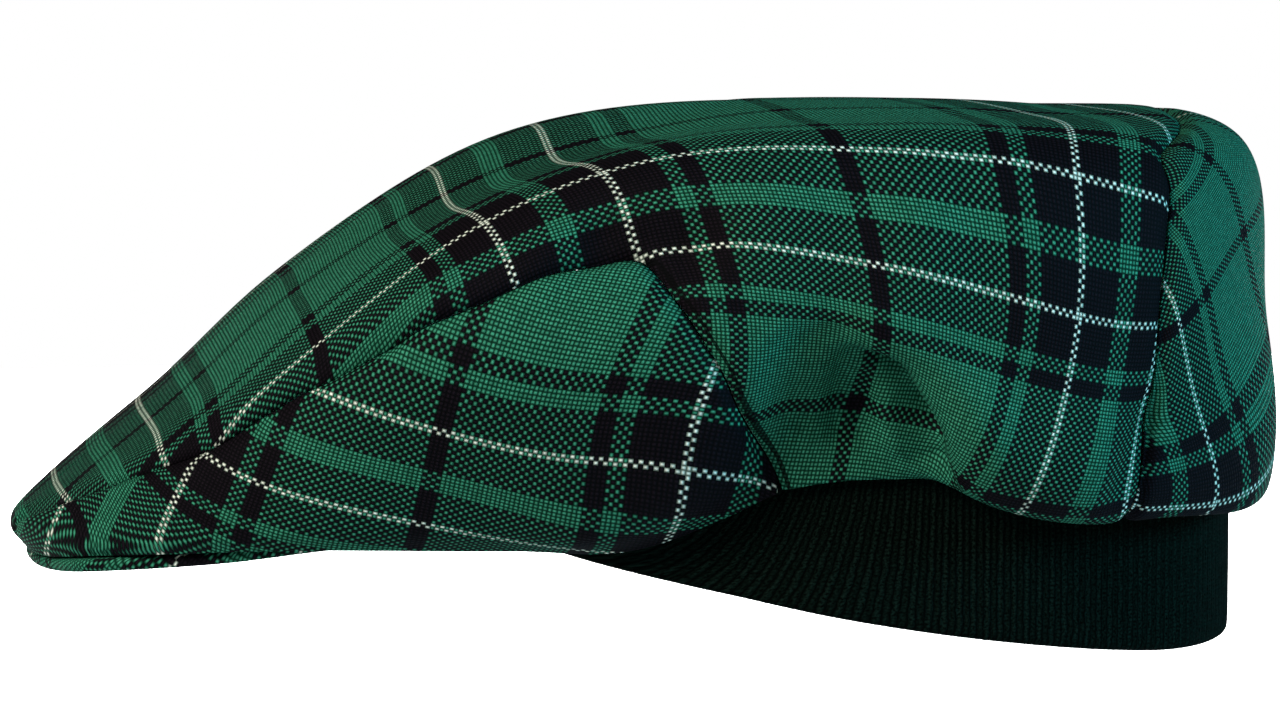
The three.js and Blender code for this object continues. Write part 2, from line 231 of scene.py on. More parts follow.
SIDE_STRIPES = (
    ("across", -27, (40.5, 0.645), (57.5, 0.74), (75.5, 0.8)),
    ("across", -14, (35, 0.67), (51, 0.785), (70, 0.845), (80, 0.985)),
    ("across", 0, (35, 0.76), (46.5, 0.83), (68, 0.94)),
    ("across", 14, (28, 0.755), (41, 0.875), (55, 0.975)),
    ("across", 27, (30, 0.875), (33.5, 0.945)),
    ("across", 31, (23, 0.78), (29, 0.88)),
    ("across", 48, (19, 0.795), (24, 0.875)),
    ("across", 65, (14, 0.82), (18, 0.895), (19, 0.945)),
    ("across", 78, (11.5, 0.885), (14, 0.94)),
    ("along", -14, (12, 0.77), (13, 0.9)),
    ("along", 0, (20, 0.775), (19, 0.855)),
    ("along", 14, (27, 0.745), (25.5, 0.805), (24, 0.92)),
    ("along", 29, (32, 0.755), (30, 0.83)),
    ("along", 65, (49, 0.67), (45.5, 0.79), (42.5, 0.88)),
    ("along", 99, (65, 0.7), (60, 0.83)),
    ("along", 116, (74.5, 0.74), (71, 0.79), (69, 0.91)),
)
BACK_STRIPES = (
    ("across", 14, (128, 0.65), (130, 0.74), (139, 0.85)),
    ("across", 31, (133, 0.6), (135, 0.745), (140.5, 0.79)),
    ("across", 65, (144, 0.5), (142.5, 0.605), (144.5, 0.695)),
    ("along", 14, (155, 0.835), (149.5, 0.86)),
    ("along", 31, (146, 0.735), (138, 0.81)),
    ("along", 65, (162, 0.57), (143.5, 0.62), (135, 0.68)),
    ("along", 99, (141, 0.525), (134, 0.58)),
    ("along", 116, (141.5, 0.455)),
)


def curve_at(xs, ys, x, flat_ends=True):
    """
    Cubic curve through the points (xs, ys), at every x. Where ys has a column for each x, each
    has a curve of its own.
    """
    ys = np.reshape(ys, (len(xs), -1))
    column = np.arange(ys.shape[1])
    step = np.diff(xs)[:, None]
    rise = np.diff(ys, axis=0) / step
    slope = np.zeros_like(ys)
    slope[1:-1] = (rise[:-1] * step[1:] + rise[1:] * step[:-1]) / (step[:-1] + step[1:])
    if not flat_ends:
        slope[0], slope[-1] = rise[0], rise[-1]
    i = np.clip(np.searchsorted(xs, x, side="right") - 1, 0, len(xs) - 2)
    span = step[i, 0]
    u = (x - xs[i]) / span
    v = 1 - u
    return ((1 + 2 * u) * v * v * ys[i, column] + u * v * v * span * slope[i, column]
            + u * u * (3 - 2 * u) * ys[i + 1, column]
            - u * u * v * span * slope[i + 1, column])


def left_side(angle):
    """The angle of the same section on the wearer's left."""
    angle = np.abs(angle)
    return np.where(angle > 180, 360 - angle, angle)


def polar(angle, out, up):
    """Points in metres at these angles round the head, this many millimetres out and up."""
    turn = np.radians(angle)
    return np.stack([out * np.sin(turn), -out * np.cos(turn), up + 0 * turn], -1) * MM


def plain_points(angle, along):
    """The smooth outer face of the cloth, before its folds."""
    side = left_side(angle.ravel())
    stops = np.concatenate([[-SECTION_STOPS[1]], SECTION_STOPS])
    places = []
    for way, mirrored, middle in (("Out", -1, 0), ("Up", 1, CROWN_HEIGHT)):
        rows = [curve_at(SECTIONS["angle"], SECTIONS[part + way], side)
                for part in ("top", "shoulder", "wide", "turn", "edge")]
        rows = [mirrored * rows[0], np.full_like(side, middle), *rows]
        places.append(curve_at(stops, rows, along.ravel(), False))
    return polar(angle.ravel(), *places).reshape(*angle.shape, 3)


def facing(surface, angle, along):
    """Which way a surface faces, given the function for its points."""
    step = 0.004
    low = np.maximum(along - step, 0)
    high = np.minimum(along + step, 1)
    down = surface(angle, high) - surface(angle, low)
    across = surface(angle + 1, high) - surface(angle - 1, high)
    normal = np.cross(down, across)
    return normal / np.linalg.norm(normal, axis=-1, keepdims=True)


def fold_push(angle, along):
    """How far the folds push the cloth out, in metres."""
    place = np.stack([left_side(angle) * DEGREE_WIDTH, along * CLOTH_LENGTH], -1)
    push = np.zeros(angle.shape)
    for row in zip(*FOLDS.values()):
        start = np.array([row[0] * DEGREE_WIDTH, row[1] * CLOTH_LENGTH])
        run = np.array([row[2] * DEGREE_WIDTH, row[3] * CLOTH_LENGTH]) - start
        share = np.clip((place - start) @ run / (run @ run), 0, 1)
        away = np.linalg.norm(place - start - share[..., None] * run, axis=-1) / row[4]
        push += row[5] * np.exp(-away * away)
    return push * MM


def cloth_points(angle, along):
    """The cloth's outer face, folds and all."""
    way = facing(plain_points, angle, along)
    return plain_points(angle, along) + way * fold_push(angle, along)[..., None]


# ----
# Meshes
# ----


class Sheet:
    """Places on the cloth, joined by faces into one piece."""

    def __init__(self):
        self.angle = np.zeros(0)
        self.along = np.zeros(0)
        self.faces = []

    def add(self, angle, along):
        """Adds places, and returns their numbers."""
        angle, along = np.broadcast_arrays(angle, along)
        start = len(self.angle)
        self.angle = np.concatenate([self.angle, angle.ravel()])
        self.along = np.concatenate([self.along, along.ravel()])
        return np.arange(start, start + angle.size).reshape(angle.shape)

    def join(self, number):
        """Adds the faces between the places of a grid whose rows go down the cloth."""
        corners = (number[:-1, :-1], number[1:, :-1], number[1:, 1:], number[:-1, 1:])
        self.faces.append(np.stack([c.ravel() for c in corners], 1))

    def patch(self, top, bottom, left, right):
        """
        Fills a patch between a top row of places that are already there and lines of places
        down its left, down its right and along its bottom.
        """
        rows, columns = len(left[0]), len(top)
        down = np.linspace(0, 1, rows)[:, None]
        over = np.linspace(0, 1, columns)[None]
        lines = []
        for key, values in enumerate((self.angle, self.along)):
            high, low = values[top][None], bottom[key][None]
            near, far = left[key][:, None], right[key][:, None]
            flat = ((1 - down) * (1 - over) * near[0] + (1 - down) * over * far[0]
                    + down * (1 - over) * near[-1] + down * over * far[-1])
            lines.append((1 - down) * high + down * low + (1 - over) * near + over * far - flat)
        number = np.concatenate([top[None], self.add(lines[0][1:], lines[1][1:])])
        self.join(number)
        return number


def resampled(line, count):
    """A line of places as this many places, evenly apart."""
    run = np.hypot(np.diff(line[0]) * DEGREE_WIDTH, np.diff(line[1]) * CLOTH_LENGTH)
    far = np.concatenate([[0], np.cumsum(run)])
    at = np.linspace(0, far[-1], count)
    return np.interp(at, far, line[0]), np.interp(at, far, line[1])


def open_edges(faces):
    """The edges of a mesh that have one face only, in that face's own order."""
    start = faces.ravel()
    end = np.roll(faces, -1, axis=1).ravel()
    keep = start != end
    start, end = start[keep], end[keep]
    size = faces.max() + 1
    code, back = start * size + end, end * size + start
    alone = ~np.isin(code, back)
    return start[alone], end[alone]


def lay_cloth(points, normals, faces, grain, turn):
    """Flattens a piece of cloth: places in metres across and along the grain at each point."""
    a, b, c, d = faces.T
    start = np.concatenate([a, b, c, d, a, b])
    end = np.concatenate([b, c, d, a, c, d])
    pair = np.unique(np.stack([np.minimum(start, end), np.maximum(start, end)], 1), axis=0)
    start, end = pair[pair[:, 0] != pair[:, 1]].T
    along = np.array(grain, float) - normals * (normals @ grain)[:, None]
    along /= np.maximum(np.linalg.norm(along, axis=1, keepdims=True), 1e-9)
    across = np.cross(along, normals)
    turn = math.radians(turn)
    directions = (math.cos(turn) * across - math.sin(turn) * along,
                  math.cos(turn) * along + math.sin(turn) * across)
    run = points[end] - points[start]
    weight = 1 / np.maximum(np.linalg.norm(run, axis=1), SHORT_EDGE)
    size = len(points)
    total = np.bincount(start, weight, size) + np.bincount(end, weight, size)
    places = []
    for direction in directions:
        wanted = weight * 0.5 * np.einsum("ij,ij->i", run, direction[start] + direction[end])
        pull = np.bincount(end, wanted, size) - np.bincount(start, wanted, size)
        places.append(settle(start, end, weight, pull, total, points @ direction.mean(axis=0)))
    return np.stack(places, -1)


def stripes_met(cloth, points, stripes, side, pitch, middle, reach, stiffness):
    """
    Pulls a flattened cloth smoothly askew, so that its stripes lie where they are known to. On a
    piece with a middle thread, the other half is pulled in the same way.
    """
    rows = [(way == "along", threads, *place) for way, threads, *places in stripes
            for place in places]
    way, threads, angle, along = np.array(rows, float).T
    spot = cloth_points(angle * side, along)
    if middle is not None:
        spot = np.concatenate([spot, spot * (-1, 1, 1)])
        threads = np.concatenate([threads, np.where(way == 0, 2 * middle - threads, threads)])
        way = np.concatenate([way, way])
    nearest = np.array([np.argmin(np.sum(np.square(points - p), axis=1)) for p in spot])
    met = cloth.copy()
    for axis in (0, 1):
        at = nearest[way == axis]
        missing = threads[way == axis] * pitch * (side if axis == 0 else 1) - cloth[at, axis]

        def terms(chosen):
            """A tilt of the whole cloth and a pull round each place, at the chosen points."""
            tilt = np.insert(cloth[chosen] * TILT_SCALE, 0, 1, axis=1)
            gap = np.linalg.norm(points[chosen, None] - points[at], axis=2) / reach
            return np.concatenate([tilt, np.exp(-gap * gap)], axis=1)

        known = terms(at)
        stiff = np.diag([0, TILT_STIFFNESS, TILT_STIFFNESS] + [stiffness] * len(at))
        answer = np.linalg.solve(known.T @ known + stiff, known.T @ missing)
        met[:, axis] += terms(np.arange(len(points))) @ answer
    return met


def settle(start, end, weight, pull, total, value):
    """Lets the places at the ends of weighted springs come to rest."""
    size = len(value)

    def spread(x):
        """How much each place is pulled by the springs that end there."""
        flow = weight * (x[end] - x[start])
        return np.bincount(end, flow, size) - np.bincount(start, flow, size)

    value = value.copy()
    rest = pull - spread(value)
    ready = rest / total
    step = ready.copy()
    energy = rest @ ready
    for _ in range(SETTLE_STEPS):
        moved = spread(step)
        share = energy / (step @ moved)
        value += share * step
        rest -= share * moved
        ready = rest / total
        fresh = rest @ ready
        if fresh < SETTLED:
            break
        step = ready + fresh / energy * step
        energy = fresh
    return value


def mesh_object(name, points, faces, cloth=None, marks=None):
    """A smooth mesh object with its cloth map, from points in metres."""
    mesh = bpy.data.meshes.new(name)
    mesh.from_pydata([tuple(p) for p in points], [], faces)
    mesh.update()
    corner = np.empty(len(mesh.loops), np.int32)
    mesh.loops.foreach_get("vertex_index", corner)
    if cloth is not None:
        layer = mesh.uv_layers.new(name="cloth")
        layer.data.foreach_set("uv", cloth[corner].astype(np.float32).ravel())
    for key, values in (marks or {}).items():
        mark = mesh.attributes.new(key, "FLOAT", "POINT")
        mark.data.foreach_set("value", np.asarray(values, np.float32))
    mesh.polygons.foreach_set("use_smooth", np.ones(len(mesh.polygons), bool))
    mesh.validate()
    obj = bpy.data.objects.new(name, mesh)
    bpy.context.scene.collection.objects.link(obj)
    return obj


def distances(points, line):
    """How far each point is from the nearest point of a line."""
    tree = KDTree(len(line))
    for i, point in enumerate(line):
        tree.insert(point, i)
    tree.balance()
    return np.array([tree.find(point)[2] for point in points])


def cloth_mesh(name, sheet, seams, grain, turn, stripes, pull, side=1, middle=None, sewn=None):
    """
    A closed wall of cloth from a sheet. The cloth turns in towards the seams, which are lines of
    points. Where sewn lines are given, each point is marked with its distance from them.
    """
    sizes = bpy.context.scene.flat_cap_sizes
    pitch = bpy.context.scene.flat_cap_finish.thread_pitch
    faces = np.concatenate(sheet.faces)
    outer = cloth_points(sheet.angle, sheet.along)
    normals = facing(cloth_points, sheet.angle, sheet.along)
    cloth = lay_cloth(outer, normals, faces, grain, turn)
    cloth = stripes_met(cloth, outer, stripes, side, pitch, middle, *pull)
    away = distances(outer, np.concatenate(seams))
    roll = sizes.seam_depth * np.exp(-np.square(away / sizes.seam_width))
    inner = outer - normals * sizes.cloth_thickness
    outer = outer - normals * roll[:, None]
    count = len(outer)
    start, end = open_edges(faces)
    rim = np.stack([end, start, start + count, end + count], 1)
    solid = np.concatenate([faces, faces[:, ::-1] + count, rim])
    marks = {}
    if sewn is not None:
        strip = distances(outer, np.concatenate(sewn))
        marks["strip_distance"] = np.concatenate([strip, strip])
    return mesh_object(name, np.concatenate([outer, inner]),
                       [list(dict.fromkeys(face)) for face in solid.tolist()],
                       np.concatenate([cloth, cloth]), marks)


def seam_places(seam, shift):
    """Places along a seam, moved sideways this many metres towards the panel below."""
    corners = np.stack([seam["angle"] * DEGREE_WIDTH, seam["along"] * CLOTH_LENGTH], 1)
    lengths = np.linalg.norm(np.diff(corners, axis=0), axis=1)
    far = np.concatenate([[0], np.cumsum(lengths)])
    at = np.linspace(0, far[-1], int(far[-1] / SEAM_STEP) + 1)
    path = np.stack([curve_at(far, corners[:, k], at, False) for k in (0, 1)], 1)
    run = np.gradient(path, axis=0)
    run /= np.linalg.norm(run, axis=1, keepdims=True)
    path += np.stack([-run[:, 1], run[:, 0]], 1) * shift / MM
    return path[:, 0] / DEGREE_WIDTH, np.minimum(path[:, 1] / CLOTH_LENGTH, 1)


def cut(line, first=0, last=None):
    """Part of a line of places."""
    return line[0][first:last], line[1][first:last]


def seam_points(line, side=1):
    """Points of the cloth along a line of places, on the left or on the right."""
    return cloth_points(line[0] * side, line[1])


def swept_mesh(name, outline, cloth, marks=None):
    """A closed bar from outlines [place round the outline, station], with round closed ends."""
    around, stations = outline.shape[:2]
    number = np.arange(around * stations).reshape(around, stations)
    ring = np.concatenate([number, number[:1]])
    a, b, c, d = (x.ravel() for x in (ring[:-1, :-1], ring[1:, :-1], ring[1:, 1:], ring[:-1, 1:]))
    faces = np.stack([a, b, c, d], 1).tolist()
    faces.append(number[::-1, 0].tolist())
    faces.append(number[:, -1].tolist())
    return mesh_object(name, outline.reshape(-1, 3), faces, cloth.reshape(-1, 2), marks)


# ----
# Materials
# ----


MATH = "ShaderNodeMath"
MIX = "ShaderNodeMix"
MIX_NUMBERS = (0, 2, 3)  # inputs of a Mix node: its factor, and the two numbers that it mixes
MIX_COLORS = (0, 6, 7)   # its factor, and the two colours that it mixes
MIXED_COLOR = 2          # output that holds the mixed colour

# Half of the tartan's sett, in threads from the middle of the six green threads to the middle of
# the four black ones: each stripe's colour and its last thread.
SETT = (("green", 3), ("black", 13), ("white", 15), ("black", 25), ("green", 29), ("black", 33),
        ("green", 63), ("black", 65))
HALF_SETT = SETT[-1][1]
ROUND_ACROSS = 1.5       # how sharply a thread's mound falls off across the thread
ROUND_ALONG = 0.7        # and along it
PAINTED_SHADE_SPREAD = 1.6         # how soon the painted shade of a dip begins
YARN_UNEVEN = 0.5        # how much threads differ in brightness

WANDER_SIZE = 3.0        # length over which the knit's ribs wander, mm
WANDER = 1.2             # how far they wander, mm
LOOP_LENGTH = 0.9        # length of one knitted loop along its rib, mm
LOOP_DEPTH = 0.3         # how much a rib sinks between two loops, a share of its height
LOW_RIB = 0.35           # how much lower every second rib is, a share of its height
FIBRE_SIZE = 0.55        # size of the specks that stray fibres make, mm
FIBRE_RANGE = (4.0, -1.35)  # how much the fibres brighten the knit, and how dark it starts


def linear(color):
    """An sRGB hex colour as linear red, green, blue and alpha."""
    parts = [int(color[i:i + 2], 16) / 255 for i in (1, 3, 5)]
    return tuple(p / 12.92 if p <= 0.04045 else ((p + 0.055) / 1.055) ** 2.4 for p in parts) + (1,)


def node(tree, kind, inputs=(), **settings):
    """Adds a node. Its inputs, by name or in order, take values, sockets or whole nodes."""
    made = tree.nodes.new(kind)
    for key, value in settings.items():
        setattr(made, key, value)
    for key, value in inputs.items() if isinstance(inputs, dict) else enumerate(inputs):
        if isinstance(value, bpy.types.Node):
            value = value.outputs[0]
        if isinstance(value, bpy.types.NodeSocket):
            tree.links.new(value, made.inputs[key])
        else:
            made.inputs[key].default_value = value
    return made


def new_material(name, roughness, specular):
    """An empty node material with its surface shader and output."""
    material = bpy.data.materials.new(name)
    material.use_nodes = True
    tree = material.node_tree
    tree.nodes.clear()
    shader = node(tree, "ShaderNodeBsdfPrincipled",
                  {"Roughness": roughness, "Specular IOR Level": specular})
    node(tree, "ShaderNodeOutputMaterial", {"Surface": shader})
    return material, tree, shader


def row_of_humps(tree, count):
    """Humps from 0 up to 1 and back, one for each whole step of a count."""
    part = node(tree, MATH, [count], operation="FRACT")
    turn = node(tree, MATH, [part, math.pi], operation="MULTIPLY")
    return node(tree, MATH, [turn], operation="SINE")


def stripes(tree, share, props, height):
    """The colour of a thread from its share of the half sett: at its tip the yarn with a painted
    highlight, at its dip the yarn with painted shade.
    """
    ramp = node(tree, "ShaderNodeValToRGB", {"Fac": share})
    ramp.color_ramp.interpolation = "CONSTANT"
    elements = ramp.color_ramp.elements
    start = 0
    for i, (color, last) in enumerate(SETT):
        element = elements[i] if i < 2 else elements.new(start / HALF_SETT)
        element.position = start / HALF_SETT
        element.color = getattr(props, f"{color}_{height}")
        start = last
    return ramp


def tartan(name, props):
    """
    Plain-weave worsted tartan, dyed in the yarn and woven: wherever two stripes cross, threads
    of both colours show by turns as a fine check of dots. Each thread stands up as a small oval
    mound where it passes over, with a painted highlight on its crown and painted shade where it
    goes under its neighbour.
    """
    material, tree, shader = new_material(name, 0.75, 0.05)
    place = node(tree, "ShaderNodeUVMap", uv_map="cloth")
    xy = node(tree, "ShaderNodeSeparateXYZ", [place])
    numbers, falls, tips, dips = [], [], [], []
    for axis in ("X", "Y"):
        count = node(tree, MATH, [xy.outputs[axis], props.thread_pitch], operation="DIVIDE")
        number = node(tree, MATH, [count], operation="FLOOR")
        middle = node(tree, MATH, [number, 0.5], operation="ADD")
        thread = node(tree, MATH, [middle, HALF_SETT], operation="PINGPONG")
        share = node(tree, MATH, [thread, HALF_SETT], operation="DIVIDE")
        hump = row_of_humps(tree, count)
        numbers.append(number)
        falls.append([node(tree, MATH, [hump, power], operation="POWER")
                      for power in (ROUND_ACROSS, ROUND_ALONG)])
        tips.append(stripes(tree, share, props, "tip"))
        dips.append(stripes(tree, share, props, "dip"))
    total = node(tree, MATH, numbers, operation="ADD")
    over = node(tree, MATH, [total, 1.0], operation="PINGPONG")
    mounds = [node(tree, MATH, pair, operation="MULTIPLY")
              for pair in ((falls[0][0], falls[1][1]), (falls[0][1], falls[1][0]))]
    mound = node(tree, MIX, dict(zip(MIX_NUMBERS, (over, *mounds))))
    # Dip and tip colours of the thread on top: its yarn with painted shade, and with a painted
    # highlight.
    woven = [node(tree, MIX, dict(zip(MIX_COLORS, (over, *pair))), data_type="RGBA")
             for pair in (dips, tips)]
    spot = node(tree, "ShaderNodeCombineXYZ", numbers)
    yarn = node(tree, "ShaderNodeTexWhiteNoise", {"Vector": spot}, noise_dimensions="2D")
    yarn = node(tree, MATH, [yarn, YARN_UNEVEN, 1 - YARN_UNEVEN / 2], operation="MULTIPLY_ADD")
    # Painted light: the higher the mound, the more the colour goes from the painted shade of the
    # dip to the painted highlight of the tip. The yarn's random brightness varies it.
    crown = node(tree, MATH, [mound, PAINTED_SHADE_SPREAD], operation="POWER")
    lit = node(tree, MATH, [crown, yarn], operation="MULTIPLY")
    pair = [half.outputs[MIXED_COLOR] for half in woven]
    color = node(tree, MIX, dict(zip(MIX_COLORS, (lit, *pair))), data_type="RGBA")
    # Painted shade: a dark line at the strip's width from the wing's front seam stands in for the
    # shade of the groove that the stitching sinks.
    strip = node(tree, "ShaderNodeAttribute", attribute_name="strip_distance").outputs["Fac"]
    line = node(tree, MATH, [strip, STRIP_WIDTH * MM, STRIP_LINE * MM], operation="COMPARE")
    groove_shade = node(tree, MATH, [line, STRIP_PAINTED_SHADE], operation="MULTIPLY")
    mixed = (groove_shade, color.outputs[MIXED_COLOR], (0, 0, 0, 1))
    sewn = node(tree, MIX, dict(zip(MIX_COLORS, mixed)), data_type="RGBA")
    tree.links.new(sewn.outputs[MIXED_COLOR], shader.inputs["Base Color"])
    bump = node(tree, "ShaderNodeBump", {"Height": mound, "Strength": 0.5, "Distance": 0.2 * MM})
    tree.links.new(bump.outputs["Normal"], shader.inputs["Normal"])
    return material


def rib_knit(name, props):
    """
    Rib knit of dark green wool, machine knitted: columns of small loops stand up as ribs, coloured
    with painted shade that goes near-black in the valleys between them, and stray fibres catch the
    light.
    """
    material, tree, shader = new_material(name, 0.95, 0.02)
    place = node(tree, "ShaderNodeUVMap", uv_map="cloth")
    xy = node(tree, "ShaderNodeSeparateXYZ", [place])
    wander, fuzz = (node(tree, "ShaderNodeTexNoise",
                         {"Vector": place, "Scale": 1 / (size * MM), "Detail": detail})
                    for size, detail in ((WANDER_SIZE, 2.0), (FIBRE_SIZE, 3.0)))
    across = node(tree, MATH, [wander, WANDER * MM, xy.outputs["X"]], operation="MULTIPLY_ADD")
    count = node(tree, MATH, [across, props.rib_pitch], operation="DIVIDE")
    number = node(tree, MATH, [count], operation="FLOOR")
    second = node(tree, MATH, [number, 1.0], operation="PINGPONG")
    second = node(tree, MATH, [second, -LOW_RIB, 1.0], operation="MULTIPLY_ADD")
    loop = node(tree, MATH, [xy.outputs["Y"], LOOP_LENGTH * MM], operation="DIVIDE")
    loop = row_of_humps(tree, loop)
    loop = node(tree, MATH, [loop, LOOP_DEPTH, 1 - LOOP_DEPTH], operation="MULTIPLY_ADD")
    height = node(tree, MATH, [row_of_humps(tree, count), loop], operation="MULTIPLY")
    height = node(tree, MATH, [height, second], operation="MULTIPLY")
    light = node(tree, MATH, [fuzz, *FIBRE_RANGE], operation="MULTIPLY_ADD")
    # Painted shade: the colour follows the relief, near-black in the valleys between ribs, between
    # loops and on the lower ribs.
    tone = node(tree, MATH, [height, light], operation="MULTIPLY")
    mixed = (tone, props.knit_valley_shade, props.knit_crest)
    color = node(tree, MIX, dict(zip(MIX_COLORS, mixed)), data_type="RGBA")
    tree.links.new(color.outputs[MIXED_COLOR], shader.inputs["Base Color"])
    bump = node(tree, "ShaderNodeBump", {"Height": height, "Strength": 0.6, "Distance": 0.4 * MM})
    tree.links.new(bump.outputs["Normal"], shader.inputs["Normal"])
    return material


def studio_paint(name, props):
    """Matt white studio paper: plain, without any grain."""
    material, _, shader = new_material(name, 1.0, 0.0)
    shader.inputs["Base Color"].default_value = props.floor_color
    return material


def finish_piece(obj, material, cad_node):
    """Gives a piece its material, hangs it on the root body and hides the CAD part that it stands
    in for.
    """
    if not obj.data.materials:
        obj.data.materials.append(material)
    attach(obj, "root")
    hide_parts(cad_node)


def made_material(name, maker):
    """The named material, made the first time that it is wanted."""
    found = bpy.data.materials.get(name)
    return found or maker(name, bpy.context.scene.flat_cap_finish)


# ----
# Sizes and finishes that a user would change
# ----


LENGTH = {"unit": "LENGTH", "subtype": "DISTANCE", "min": 0.0, "precision": 4}
COLOR = {"subtype": "COLOR", "size": 4, "min": 0.0, "max": 1.0}


class FlatCapSizes(bpy.types.PropertyGroup):
    """Thicknesses, seams and ribs of the cap"""

    cloth_thickness: FloatProperty(name="Cloth thickness", default=2.0 * MM, **LENGTH,
        description="Thickness of the backed cloth")
    knit_thickness: FloatProperty(name="Knit thickness", default=3.5 * MM, **LENGTH,
        description="Thickness of the folded rib knit")
    lip_thickness: FloatProperty(name="Lip thickness", default=3.0 * MM, **LENGTH,
        description="Thickness of the peak at its edge")
    seam_gap: FloatProperty(name="Seam gap", default=0.4 * MM, **LENGTH,
        description="Space between two panels at their seam")
    seam_depth: FloatProperty(name="Seam depth", default=1.6 * MM, **LENGTH,
        description="How deep the edges turn in at a seam")
    seam_width: FloatProperty(name="Seam width", default=1.9 * MM, **LENGTH,
        description="How far from a seam the edges turn in")
    rib_height: FloatProperty(name="Rib height", default=0.3 * MM, **LENGTH,
        description="How far the knit's ribs stand out")


class FlatCapFinish(bpy.types.PropertyGroup):
    """Colours and yarns of the cap"""

    # Each yarn's tip colour is the yarn with a painted highlight, and its dip colour is the yarn
    # with painted shade.
    green_tip: FloatVectorProperty(name="Green tip", default=linear("#3f8f6e"), **COLOR,
        description="Green yarn where it rises")
    green_dip: FloatVectorProperty(name="Green dip", default=linear("#002314"), **COLOR,
        description="Green yarn where it dips")
    black_tip: FloatVectorProperty(name="Black tip", default=linear("#150d13"), **COLOR,
        description="Black yarn where it rises")
    black_dip: FloatVectorProperty(name="Black dip", default=linear("#020102"), **COLOR,
        description="Black yarn where it dips")
    white_tip: FloatVectorProperty(name="White tip", default=linear("#f2f0dc"), **COLOR,
        description="White yarn where it rises")
    white_dip: FloatVectorProperty(name="White dip", default=linear("#50584c"), **COLOR,
        description="White yarn where it dips")
    # The crest is the knit's own colour; the valley colour is painted shade, near-black between
    # the ribs.
    knit_crest: FloatVectorProperty(name="Knit crest", default=linear("#0f1b15"), **COLOR,
        description="Crest of the ribs")
    knit_valley_shade: FloatVectorProperty(name="Knit valley", default=linear("#000100"), **COLOR,
        description="Between the ribs")
    floor_color: FloatVectorProperty(name="Floor", default=linear("#f4f4f4"), **COLOR,
        description="Studio floor")
    thread_pitch: FloatProperty(name="Thread pitch", default=1.0 * MM, **LENGTH,
        description="From one woven thread to the next")
    rib_pitch: FloatProperty(name="Rib pitch", default=1.6 * MM, **LENGTH,
        description="From one knitted rib to the next")


# ----
# Pieces
# ----


def crown_sheet(front, back):
    """The crown's places: rings round its middle, a wing down each side and its front tip."""
    tip = int(np.argmax(front[1] < TIP_ALONG))
    wing = int(np.argmax(front[0] > WING_FRONT))
    rear = int(np.argmax(back[1] < WING_BACK))
    tip_angle = np.linspace(0, front[0][tip], TIP_COLUMNS)[:-1]
    over = np.linspace(0, 1, WING_COLUMNS)[1:-1]
    chord = [front[k][wing] + (back[k][rear] - front[k][wing]) * over for k in (0, 1)]
    angle = np.concatenate([tip_angle, front[0][tip:wing + 1], chord[0], back[0][rear:]])
    along = np.concatenate([tip_angle * 0 + front[1][tip], front[1][tip:wing + 1], chord[1],
                            back[1][rear:]])
    sheet = Sheet()
    pole = sheet.add(np.zeros(1), np.zeros(1))
    ring = np.concatenate([angle, -angle[-2:0:-1]])
    reach = np.concatenate([along, along[-2:0:-1]])
    share = np.linspace(0, 1, CROWN_RINGS + 1)[1:, None]
    number = sheet.add(ring[None], reach[None] * share)
    number = np.concatenate([number, number[:, :1]], axis=1)
    sheet.join(np.concatenate([np.full((1, number.shape[1]), pole[0]), number]))

    edge = number[-1]
    half = len(tip_angle)
    first = half + wing - tip
    rim_angle = np.linspace(front[0][-1], back[0][0], WING_COLUMNS)
    for side in (1, -1):
        top = edge[::side][first:first + WING_COLUMNS]
        bottom = (rim_angle * side, rim_angle * 0 + 1)
        left = resampled(cut(front, wing), WING_ROWS)
        right = resampled((back[0][rear::-1], back[1][rear::-1]), WING_ROWS)
        left, right = ((x[0] * side, x[1]) for x in (left, right))
        if side < 0:
            top, bottom = top[::-1], (bottom[0][::-1], bottom[1])
            left, right = right, left
        sheet.patch(top, bottom, left, right)

    top = np.concatenate([edge[-half - 1:-1], edge[:half + 1]])
    low = np.linspace(-front[0][0], front[0][0], len(top))
    left = (np.linspace(-front[0][tip], -front[0][0], TIP_ROWS),
            np.linspace(front[1][tip], 1, TIP_ROWS))
    sheet.patch(top, (low, low * 0 + 1), left, (-left[0], left[1]))
    return sheet, wing


class FLATCAP_OT_crown(bpy.types.Operator):
    """Make the crown, one cloth from the peak's edge over the top with a wing down each side"""

    bl_idname = "flat_cap.crown"
    bl_label = "Crown"

    def execute(self, context):
        gap = context.scene.flat_cap_sizes.seam_gap
        front = seam_places(FRONT_SEAM, -gap / 2)
        back = seam_places(BACK_SEAM, -gap / 2)
        front[0][:] = np.maximum.accumulate(front[0])
        back[0][-1] = 180
        sheet, wing = crown_sheet(front, back)
        seams = [seam_points(line, side) for line in (front, back) for side in (1, -1)]
        sewn = [seam_points(cut(front, wing), side) for side in (1, -1)]
        obj = cloth_mesh("crown_cloth", sheet, seams, (0, 1, 0), 0, CROWN_STRIPES, CROWN_PULL,
                         middle=CROWN_MIDDLE, sewn=sewn)
        finish_piece(obj, made_material("tartan worsted", tartan), "crown")
        return {"FINISHED"}


def hung_sheet(upper, rows, side=1):
    """A sheet from a line of places down to the lower edge, on the left or on the right."""
    low_angle = np.linspace(upper[0][0], upper[0][-1], len(upper[0]))
    share = np.linspace(0, 1, rows)[:, None]
    sheet = Sheet()
    number = sheet.add((upper[0] + (low_angle - upper[0]) * share) * side,
                       upper[1] + (1 - upper[1]) * share)
    sheet.join(number[:, ::side])
    return sheet


